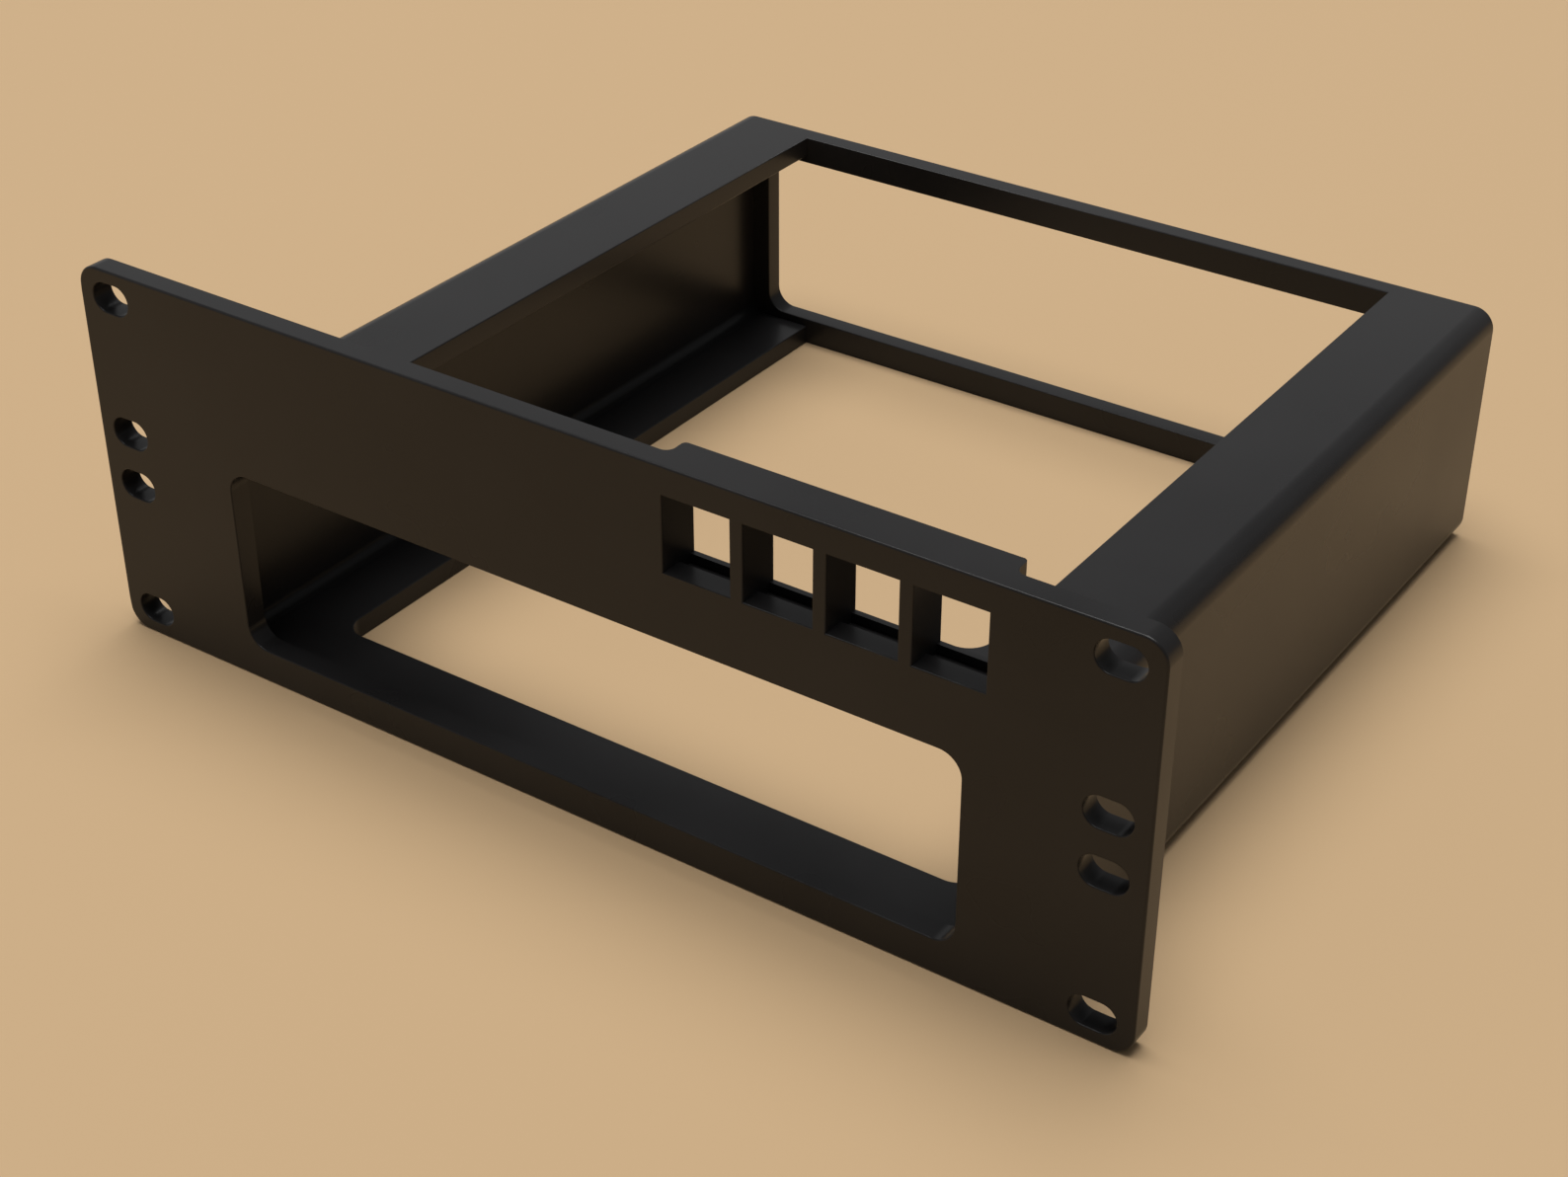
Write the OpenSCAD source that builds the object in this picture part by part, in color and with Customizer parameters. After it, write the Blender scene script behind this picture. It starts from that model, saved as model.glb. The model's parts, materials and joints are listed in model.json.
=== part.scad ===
// Rack mount bracket, two rack units high, for a ten inch rack.
// A flat front panel with slotted ears carries an open box that holds a small computer or a switch,
// and a row of keystone jack windows sits above the box on the right.
// Frame: the origin is the middle of the slot pattern on the panel's rear face, which bears on the rack rails.
// +X is to the right seen from the front, +Y runs into the rack and +Z is up. Lengths are in millimetres.

/* [Front panel] */
// Width across both ears
panel_w = 254; // [250:0.5:300]
// Height of the panel, two rack units
panel_h = 88.9; // [87:0.1:110]
// Thickness of the panel
panel_t = 5; // [3:0.5:8]
// Radius of the panel's four corners
panel_r = 5; // [1:0.5:8]
// Width of each ear, from the box to the panel's side edge
ear_w = 22.5; // [16:0.5:60]
// Height of the panel above the box
head_h = 29.9; // [25:0.1:45]

/* [Rack slots] */
// Distance from the panel's side edge to the middle of a slot
slot_inset = 8.7375; // [8:0.0125:12]
// Distance from the panel's upper and lower edges to the middle of the nearest slot
slot_edge = 6.35; // [5:0.05:10]
// Height between the two middle slots of a column
slot_spacing_inner = 12.7; // [10:0.1:40]
// Length of a slot from end to end
slot_l = 10; // [8:0.1:12]
// Width of a slot
slot_w = 6.7; // [5:0.1:7.5]

/* [Device bay] */
// Clear depth from the panel to the rear wall
bay_d = 196; // [80:1:260]
// Thickness of the two side walls
side_t = 7; // [3:0.5:8]
// Thickness of the top plate and the bottom plate
plate_t = 5; // [3:0.25:6]
// Thickness of the rear wall
rear_t = 5; // [3:0.5:8]
// Radius along the four long outer edges
cage_r = 5; // [3.5:0.5:8]
// Radius along the four long edges inside the bay
bay_r = 3; // [1:0.5:6]

/* [Bay openings] */
// Width of the rim that the panel keeps at each side of the front opening
front_rim_side = 8.25; // [3:0.25:20]
// Height of the rim that the panel keeps above and below the front opening
front_rim_edge = 3; // [1:0.25:10]
// Width of the rim at each side of the rear opening
rear_rim_side = 5; // [2:0.25:20]
// Height of the rim above and below the rear opening
rear_rim_edge = 2; // [1:0.25:10]
// Width of the flange that the top and bottom plates keep along each side wall
flange_w = 17.2; // [6:0.1:40]
// Depth of the strip that the top and bottom plates keep behind the panel
front_strip = 14.5; // [5:0.5:60]
// Corner radius of all the bay's openings
opening_r = 5; // [1:0.5:10]

/* [Keystone bank] */
// Number of jack windows in the row
jack_count = 4; // [1:1:9]
// Width of a jack window
jack_w = 15.1; // [14:0.1:16]
// Height of a jack window
jack_h = 16.5; // [15:0.1:18]
// Thickness of the rib between two windows
jack_rib = 2.9; // [1.5:0.1:6]
// Distance from the panel's top edge down to the windows
jack_drop = 6.2; // [5:0.1:8]
// Distance from the box's right side to the right end of the bank
bank_inset = 9.5; // [3:0.5:40]
// Distance that the bank stands out behind the panel
bank_t = 4.8; // [3.5:0.1:8]
// Wall outside the first and the last window
bank_side = 1.7; // [1:0.1:4]
// Thickness of the catches at the bank's rear
catch_t = 1.2; // [0.8:0.1:2]
// Depth of the pocket under each window, for the jack's fixed hook
hook_pocket = 2; // [1:0.1:2.5]
// Depth of the pocket over each window, for the jack's spring latch
latch_pocket = 4; // [2.2:0.1:4.5]
// Length by which the upper catch hangs down over its pocket
latch_catch = 2; // [1:0.1:2.1]
// Radius that blends the bank's ends into the panel
bank_fillet = 2; // [0.5:0.1:3.5]
// Radius of the bank's rear corners
bank_r = 1; // [0.4:0.1:1.4]

/* [Hidden] */
$fn = 96;
// Length by which a cut runs past the face that it opens
over = 1;
// Length by which joined pieces run into each other
bite = 0.5;
shell_colour = "#1c1b1b";
slot_spacing_x = panel_w - 2 * slot_inset;
slot_spacing_outer = panel_h - 2 * slot_edge;
cage_w = panel_w - 2 * ear_w;
cage_h = panel_h - head_h;
bay_w = cage_w - 2 * side_t;
bay_h = cage_h - 2 * plate_t;
cage_bottom = -panel_h / 2;
cage_top = cage_bottom + cage_h;
bay_floor = cage_bottom + plate_t;
bay_mid = bay_floor + bay_h / 2;
cage_d = bay_d + rear_t;
front_open_w = bay_w - 2 * front_rim_side;
front_open_h = bay_h - 2 * front_rim_edge;
rear_open_w = bay_w - 2 * rear_rim_side;
rear_open_h = bay_h - 2 * rear_rim_edge;
plate_open_w = bay_w - 2 * flange_w;
jack_pitch = jack_w + jack_rib;
jack_top = panel_h / 2 - jack_drop;
jack_bottom = jack_top - jack_h;
bank_w = jack_count * jack_w + (jack_count - 1) * jack_rib + 2 * bank_side;
bank_right = cage_w / 2 - bank_inset;
bank_left = bank_right - bank_w;
pocket_d = bank_t - catch_t;

// A rectangle around the origin with four equal corner arcs.
module rounded_rect(w, h, r) {
    square([w - 2 * r, h], center = true);
    square([w, h - 2 * r], center = true);
    for (x = [-1, 1], y = [-1, 1])
        translate([x * (w / 2 - r), y * (h / 2 - r)])
            circle(r);
}

// A slot with round ends, lying along x around the origin.
module obround(l, w) {
    square([l - w, w], center = true);
    for (x = [-1, 1])
        translate([x * (l - w) / 2, 0])
            circle(d = w);
}

// Extrudes a profile drawn in the XZ plane from y = from to y = to.
module along_y(from, to) {
    translate([0, to, 0])
        rotate([90, 0, 0])
            linear_extrude(to - from)
                children();
}

// The front panel, before anything is cut from it.
module panel_blank() {
    along_y(-panel_t, 0)
        rounded_rect(panel_w, panel_h, panel_r);
}

// The box behind the panel, closed on all sides but the front.
module cage_blank() {
    difference() {
        along_y(-bite, cage_d)
            translate([0, bay_mid])
                rounded_rect(cage_w, cage_h, cage_r);
        along_y(0, bay_d)
            translate([0, bay_mid])
                rounded_rect(bay_w, bay_h, bay_r);
    }
}

// One concave fillet in plan, for the corner at the origin that opens towards +x and +y.
module corner_fillet(r) {
    difference() {
        translate([-bite, -bite])
            square(r + bite);
        translate([r, r])
            circle(r);
    }
}

// The bank's outline in plan, with rounded rear corners and a fillet at each end.
module bank_plan() {
    translate([bank_left, -bite])
        square([bank_w, bank_t - bank_r + bite]);
    translate([bank_left + bank_r, 0])
        square([bank_w - 2 * bank_r, bank_t]);
    for (x = [bank_left + bank_r, bank_right - bank_r])
        translate([x, bank_t - bank_r])
            circle(bank_r);
    translate([bank_right, 0])
        corner_fillet(bank_fillet);
    translate([bank_left, 0])
        mirror([1, 0])
            corner_fillet(bank_fillet);
}

// The block that carries the jack windows, standing on the cage's top plate.
module bank_blank() {
    translate([0, 0, cage_top - bite])
        linear_extrude(panel_h / 2 - cage_top + bite)
            bank_plan();
}

// One jack window with the pockets that hold the jack, seen from the side and cut along x.
module jack_cut() {
    translate([0, -panel_t - over, jack_bottom])
        cube([jack_w, panel_t + bank_t + 2 * over, jack_h]);
    translate([0, 0, jack_bottom - hook_pocket])
        cube([jack_w, pocket_d, hook_pocket + jack_h + latch_pocket]);
    translate([0, 0, jack_bottom])
        cube([jack_w, bank_t + over, jack_h + latch_pocket - latch_catch]);
}

// The whole row of jack windows.
module jack_cuts() {
    for (i = [0 : jack_count - 1])
        translate([bank_left + bank_side + i * jack_pitch, 0, 0])
            jack_cut();
}

// The eight slots for the rack's screws.
module rack_slots() {
    for (x = [-1, 1], s = [slot_spacing_outer, slot_spacing_inner], z = [-1, 1])
        along_y(-panel_t - over, over)
            translate([x * slot_spacing_x / 2, z * s / 2])
                obround(slot_l, slot_w);
}

// An opening in the top or bottom plate: round front corners, and flush with the rear wall at the back.
module plate_opening_plan() {
    open_d = bay_d - front_strip;
    translate([0, front_strip + open_d / 2])
        rounded_rect(plate_open_w, open_d, opening_r);
    translate([-plate_open_w / 2, front_strip + open_d / 2])
        square([plate_open_w, open_d / 2]);
}

// The front, rear, top and bottom openings of the bay.
module bay_openings() {
    along_y(-panel_t - over, over)
        translate([0, bay_mid])
            rounded_rect(front_open_w, front_open_h, opening_r);
    along_y(bay_d - over, cage_d + over)
        translate([0, bay_mid])
            rounded_rect(rear_open_w, rear_open_h, opening_r);
    translate([0, 0, cage_bottom - over])
        linear_extrude(cage_h + 2 * over)
            plate_opening_plan();
}

// The bracket is one moulded piece.
module bracket() {
    color(shell_colour)
        difference() {
            union() {
                panel_blank();
                cage_blank();
                bank_blank();
            }
            bay_openings();
            rack_slots();
            jack_cuts();
        }
}

bracket();
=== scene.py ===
# %% [markdown]
# # A rack mount bracket in black plastic
# The bracket is one piece of smooth black plastic: a front panel with slotted ears, an open box
# behind it, and a row of four jack windows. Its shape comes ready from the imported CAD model.
# This script gives it what the photo shows and CAD leaves out: softened edges, a satin surface,
# a floor to stand on and soft studio light. All lengths are in metres, in the CAD model's frame.
# The cube, lamp and camera that every new Blender scene brings are removed first.

# %% Load the fixed frame
import json
import math
import bmesh
import bpy
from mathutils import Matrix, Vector

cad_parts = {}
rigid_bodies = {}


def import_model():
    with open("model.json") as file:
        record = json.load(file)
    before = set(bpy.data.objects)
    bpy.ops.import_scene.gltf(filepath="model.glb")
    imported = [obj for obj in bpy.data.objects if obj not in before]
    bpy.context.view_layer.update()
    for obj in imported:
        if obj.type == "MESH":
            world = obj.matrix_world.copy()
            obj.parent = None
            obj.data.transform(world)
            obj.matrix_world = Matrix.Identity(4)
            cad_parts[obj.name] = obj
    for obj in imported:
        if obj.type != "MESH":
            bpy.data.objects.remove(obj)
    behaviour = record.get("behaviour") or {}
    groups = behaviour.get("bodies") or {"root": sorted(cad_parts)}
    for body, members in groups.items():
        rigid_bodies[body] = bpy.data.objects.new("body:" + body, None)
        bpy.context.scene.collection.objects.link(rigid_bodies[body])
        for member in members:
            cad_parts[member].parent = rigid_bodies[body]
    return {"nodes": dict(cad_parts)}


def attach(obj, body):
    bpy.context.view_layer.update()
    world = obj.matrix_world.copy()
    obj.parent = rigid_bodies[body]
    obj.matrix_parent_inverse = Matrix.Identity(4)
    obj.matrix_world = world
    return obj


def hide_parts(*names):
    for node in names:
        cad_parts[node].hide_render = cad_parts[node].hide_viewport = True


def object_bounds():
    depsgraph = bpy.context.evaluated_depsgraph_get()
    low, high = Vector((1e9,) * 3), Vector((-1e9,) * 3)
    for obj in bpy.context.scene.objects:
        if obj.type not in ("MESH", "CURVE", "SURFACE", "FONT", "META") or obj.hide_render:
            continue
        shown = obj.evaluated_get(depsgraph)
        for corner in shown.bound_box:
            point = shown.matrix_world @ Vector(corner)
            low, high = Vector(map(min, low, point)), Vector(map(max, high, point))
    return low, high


for leftover in list(bpy.data.objects):
    bpy.data.objects.remove(leftover)
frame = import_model()
cad_low, cad_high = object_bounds()
MM = 0.001
print("CAD size in mm:", [round(side / MM, 1) for side in cad_high - cad_low])

# %% [markdown]
# ## The camera
# The photo looks down on the bracket from the front right, about 35 degrees round and 32 degrees
# up. The place was worked out from the slots, whose spacing is a standard one, and a 60 mm lens
# on a 36 mm sensor gives the same perspective. The camera is made first, so that every later
# step can be compared with the photo. It aims at a point instead of being turned by angles,
# because a point is easier to move.

# %% Camera at the photo's viewpoint
camera_data = bpy.data.cameras.new("camera")
camera_data.lens = 60.07
camera_data.sensor_width = 36
camera = bpy.data.objects.new("camera", camera_data)
camera.location = (0.2753, -0.3290, 0.2759)
aim = Vector((-0.0135, 0.0888, -0.0436))
camera.rotation_euler = (aim - camera.location).to_track_quat("-Z", "Y").to_euler()
bpy.context.scene.collection.objects.link(camera)
bpy.context.scene.camera = camera
print("Camera to aim in mm:", round((aim - camera.location).length / MM))

# %% [markdown]
# ## The shell
# A moulded part has few knife-sharp corners. Here the outline's edges are rounded by 0.5 mm, so
# that the light turns softly over them. The CAD mesh is exact but sharp, and made of loose
# triangles, so the shell starts as a copy of it. Two clean-up steps come first: doubles are merged
# so that neighbouring faces share their points, and flat triangles are joined into whole faces, so
# that an edge is left only where the surface turns. A Bevel modifier would do for the rounding
# too, but it rounds inner corners as well, and here those stay crisp.

# %% Copy the CAD mesh and clean it
MERGE = 0.001 * MM
FLAT = math.radians(0.5)
shell_bm = bmesh.new()
shell_bm.from_mesh(frame["nodes"]["bracket"].data)
bmesh.ops.remove_doubles(shell_bm, verts=shell_bm.verts[:], dist=MERGE)
bmesh.ops.dissolve_limit(
    shell_bm, angle_limit=FLAT, verts=shell_bm.verts[:], edges=shell_bm.edges[:]
)
print("Clean copy:", len(shell_bm.verts), "points,", len(shell_bm.faces), "faces")

# %% [markdown]
# ## Soft edges
# The rounding isn't the same everywhere. The outline of the panel's front and of the box is soft.
# The slots, windows and openings are crisp and get 0.3 mm. The panel's rear face, with the jack
# bank and the step down to the bay's floor, stays sharp, because the photo shows no line of light
# there and the catches of the jack windows are thin. Each of these places is found by a box around
# it, in millimetres. An edge is an outer one if its two faces turn away from each other, which a
# positive signed angle says.

# %% Find the outer edges
SHARP = math.radians(30)
CUTS = {
    "jack windows": ((22.6, -6, 19), (94.9, 1, 43)),
    "left slots": ((-124.5, -6, -42.5), (-112.5, 1, 42.5)),
    "right slots": ((112.5, -6, -42.5), (124.5, 1, 42.5)),
    "plate openings": ((-81, 14, -45), (81, 197, 15)),
    "front and rear openings": ((-93, -6, -38), (93, 202, 8)),
}
PANEL_REAR = ((-128, -0.1, -45), (128, 6, 45))


def in_box(edge, box):
    middle = (edge.verts[0].co + edge.verts[1].co) / (2 * MM)
    low, high = box
    return all(low[axis] < middle[axis] < high[axis] for axis in range(3))


def outer_edges(mesh, of_cuts):
    return [
        edge
        for edge in mesh.edges
        if edge.calc_face_angle_signed() > SHARP
        and any(in_box(edge, box) for box in CUTS.values()) == of_cuts
        and not in_box(edge, PANEL_REAR)
    ]


print("Outer edges of the cuts:", len(outer_edges(shell_bm, of_cuts=True)))

# %% Round the outer edges
OUTLINE_EDGE = 0.5 * MM
CUT_EDGE = 0.3 * MM


def soften(mesh, edges, radius, segments):
    bmesh.ops.bevel(
        mesh,
        geom=edges,
        offset=radius,
        offset_type="OFFSET",
        affect="EDGES",
        segments=segments,
        profile=0.5,
        material=-1,
        loop_slide=True,
    )
    print("Rounded", len(edges), "edges by", round(radius / MM, 2), "mm")


soften(shell_bm, outer_edges(shell_bm, of_cuts=True), CUT_EDGE, segments=2)
soften(shell_bm, outer_edges(shell_bm, of_cuts=False), OUTLINE_EDGE, segments=4)

# %% [markdown]
# ## Shading
# The small bevel faces should look round and the big faces flat. Smooth shading alone would bend
# the light over the big faces too, because they share their points with the bevels. The Weighted
# Normal modifier lets the larger face decide at each point, which keeps the plates flat and puts
# the whole turn of the light into the bevel. Edges that turn by more than 50 degrees, such as the
# inner corners, are marked sharp first, so that no light bends across them.

# %% Make the shell and its normals
CORNER = math.radians(50)
for face in shell_bm.faces:
    face.smooth = True
for edge in shell_bm.edges:
    edge.smooth = edge.calc_face_angle(0) < CORNER
print("Sharp corners:", sum(not edge.smooth for edge in shell_bm.edges), "edges")

shell_mesh = bpy.data.meshes.new("bracket_shell")
shell_bm.to_mesh(shell_mesh)
shell_bm.free()
shell = bpy.data.objects.new("bracket_shell", shell_mesh)
bpy.context.scene.collection.objects.link(shell)
even = shell.modifiers.new("flat plates", "WEIGHTED_NORMAL")
even.keep_sharp = True
even.weight = 100
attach(shell, "root")
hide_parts("bracket")
print("Shell faces:", len(shell_mesh.polygons))

# %% [markdown]
# ## Black plastic
# The plastic is near black, with a satin gloss that mirrors the floor as a soft warm blur. Its
# reflections are weaker than those of polished plastic, because the mould's fine texture scatters
# part of them, so its index of refraction is 1.33 instead of the usual 1.5. Two small
# irregularities keep it from looking computed: the gloss and the tint drift a little over a few
# centimetres, as on moulded plastic, and a very fine grain breaks the reflections up. Both come
# from Noise textures on Object coordinates, so they stay on the plastic at their real size. The
# values of a Noise texture lie mostly between 0.3 and 0.7, so a Map Range node spreads that part
# over the wanted range. The grain only goes through a Bump node, because it is far too fine to
# model.

# %% A material and helpers for its nodes
NOISE_LOW = 0.3
NOISE_HIGH = 0.7
plastic = bpy.data.materials.new("satin black plastic")
plastic.use_nodes = True


def new_node(tree, kind, **settings):
    node = tree.nodes.new(kind)
    for name, value in settings.items():
        setattr(node, name, value)
    return node


def noise(tree, place, size, detail):
    texture = new_node(tree, "ShaderNodeTexNoise")
    texture.inputs["Scale"].default_value = 1 / size
    texture.inputs["Detail"].default_value = detail
    tree.links.new(place, texture.inputs["Vector"])
    return texture.outputs["Fac"]


def spread(tree, source, low, high):
    fit = new_node(tree, "ShaderNodeMapRange")
    fit.inputs["From Min"].default_value = NOISE_LOW
    fit.inputs["From Max"].default_value = NOISE_HIGH
    fit.inputs["To Min"].default_value = low
    fit.inputs["To Max"].default_value = high
    tree.links.new(source, fit.inputs["Value"])
    return fit.outputs["Result"]


print("New material:", plastic.name)

# %% Satin black plastic
DRIFT_SIZE = 40 * MM
GLOSSIEST = 0.26
DULLEST = 0.32
DARKEST = (0.0145, 0.0139, 0.0141, 1)
LIGHTEST = (0.0201, 0.0193, 0.0196, 1)
GRAIN_SIZE = 0.35 * MM
GRAIN_DEPTH = 0.01 * MM

tree = plastic.node_tree
surface = tree.nodes["Principled BSDF"]
surface.inputs["IOR"].default_value = 1.33
place = new_node(tree, "ShaderNodeTexCoord").outputs["Object"]

drift = noise(tree, place, DRIFT_SIZE, detail=3)
tree.links.new(spread(tree, drift, GLOSSIEST, DULLEST), surface.inputs["Roughness"])

tint = new_node(tree, "ShaderNodeValToRGB")
tint.color_ramp.elements[0].color = DARKEST
tint.color_ramp.elements[1].color = LIGHTEST
tree.links.new(spread(tree, drift, 0, 1), tint.inputs["Fac"])
tree.links.new(tint.outputs["Color"], surface.inputs["Base Color"])

bump = new_node(tree, "ShaderNodeBump")
bump.inputs["Strength"].default_value = 0.25
bump.inputs["Distance"].default_value = GRAIN_DEPTH
tree.links.new(noise(tree, place, GRAIN_SIZE, detail=2), bump.inputs["Height"])
tree.links.new(bump.outputs["Normal"], surface.inputs["Normal"])

shell_mesh.materials.append(plastic)
print("Nodes in the plastic:", len(tree.nodes))

# %% [markdown]
# ## Floor
# Black plastic shows mostly what it reflects, so the floor matters as much as the material: its
# pale warm tone gives the panel and the right wall their brown sheen. A single large plane level
# with the bracket's lower edge is enough, because the camera looks down and sees no horizon.

# %% Pale floor
FLOOR_HALF = 12.0
SAND = (0.65, 0.45, 0.255, 1)
floor_bm = bmesh.new()
bmesh.ops.create_grid(floor_bm, x_segments=1, y_segments=1, size=FLOOR_HALF)
bmesh.ops.translate(floor_bm, verts=floor_bm.verts[:], vec=(0, 0, cad_low.z))
floor_mesh = bpy.data.meshes.new("floor")
floor_bm.to_mesh(floor_mesh)
floor_bm.free()
floor = bpy.data.objects.new("floor", floor_mesh)
bpy.context.scene.collection.objects.link(floor)

sand = bpy.data.materials.new("pale sand floor")
sand.use_nodes = True
sand_surface = sand.node_tree.nodes["Principled BSDF"]
sand_surface.inputs["Base Color"].default_value = SAND
sand_surface.inputs["Roughness"].default_value = 0.8
sand_surface.inputs["Specular IOR Level"].default_value = 0.2
floor_mesh.materials.append(sand)
print("Floor height in mm:", round(cad_low.z / MM, 2))

# %% [markdown]
# ## Light
# The photo's light was read off the plastic. The flat tops mirror the room behind on the left,
# about 30 degrees up, and are fairly light. The panel's rounded top edge mirrors the room further
# round to the left, and no dark line shows there. The sill of the front opening mirrors the room
# nearly 40 degrees up and is much darker, and so are the round edge on the right and the walls
# inside. The ground lies in full light, and is darkest right of the box. So the walls are lit from
# the back round to the left, up to about 30 degrees high, the other walls and the ceiling are dim,
# and one big soft lamp hangs overhead, a little to the left. The world makes the walls: it fades
# over the direction's height, and over how far it turns away from the middle of the lit part, which
# is 60 degrees left of straight back.

# %% Lit walls in a dim room
LIT_WALL = 0.45
OTHER_WALLS = 0.14
CEILING = 0.1
LIT_BEARING = math.radians(-60)
LIT_FULL = math.radians(60)
LIT_END = math.radians(100)
WALL_TOP = math.radians(30)
CEILING_START = math.radians(36)
WHITE = (1, 1, 1, 1)


def fade(tree, source, start, end):
    blend = new_node(tree, "ShaderNodeMapRange", interpolation_type="SMOOTHSTEP")
    blend.inputs["From Min"].default_value = start
    blend.inputs["From Max"].default_value = end
    tree.links.new(source, blend.inputs["Value"])
    return blend


world = bpy.data.worlds.new("room")
world.use_nodes = True
bpy.context.scene.world = world
sky = world.node_tree
direction = new_node(sky, "ShaderNodeTexCoord").outputs["Generated"]
facing = new_node(sky, "ShaderNodeVectorMath", operation="DOT_PRODUCT")
facing.inputs[1].default_value = (math.sin(LIT_BEARING), math.cos(LIT_BEARING), 0)
height = new_node(sky, "ShaderNodeSeparateXYZ")
sky.links.new(direction, facing.inputs[0])
sky.links.new(direction, height.inputs["Vector"])

walls = fade(sky, facing.outputs["Value"], math.cos(LIT_END), math.cos(LIT_FULL))
walls.inputs["To Min"].default_value = OTHER_WALLS
walls.inputs["To Max"].default_value = LIT_WALL
room = fade(sky, height.outputs["Z"], math.sin(WALL_TOP), math.sin(CEILING_START))
room.inputs["To Max"].default_value = CEILING
sky.links.new(walls.outputs["Result"], room.inputs["To Min"])
sky.links.new(room.outputs["Result"], sky.nodes["Background"].inputs["Strength"])
sky.nodes["Background"].inputs["Color"].default_value = WHITE
print("Lit wall, other walls, ceiling:", LIT_WALL, OTHER_WALLS, CEILING)

# %% Overhead lamp
LAMP_SIDE = 3.0
LAMP_WATTS = 156
lamp_data = bpy.data.lights.new("overhead", "AREA")
lamp_data.shape = "SQUARE"
lamp_data.size = LAMP_SIDE
lamp_data.energy = LAMP_WATTS
lamp = bpy.data.objects.new("overhead", lamp_data)
lamp.location = (-0.3, 0.24, 4.0)
lamp.rotation_euler = lamp.location.to_track_quat("Z", "Y").to_euler()
bpy.context.scene.collection.objects.link(lamp)
bpy.context.scene.view_settings.view_transform = "Standard"
print("Lamp height in m:", round(lamp.location.z, 2))
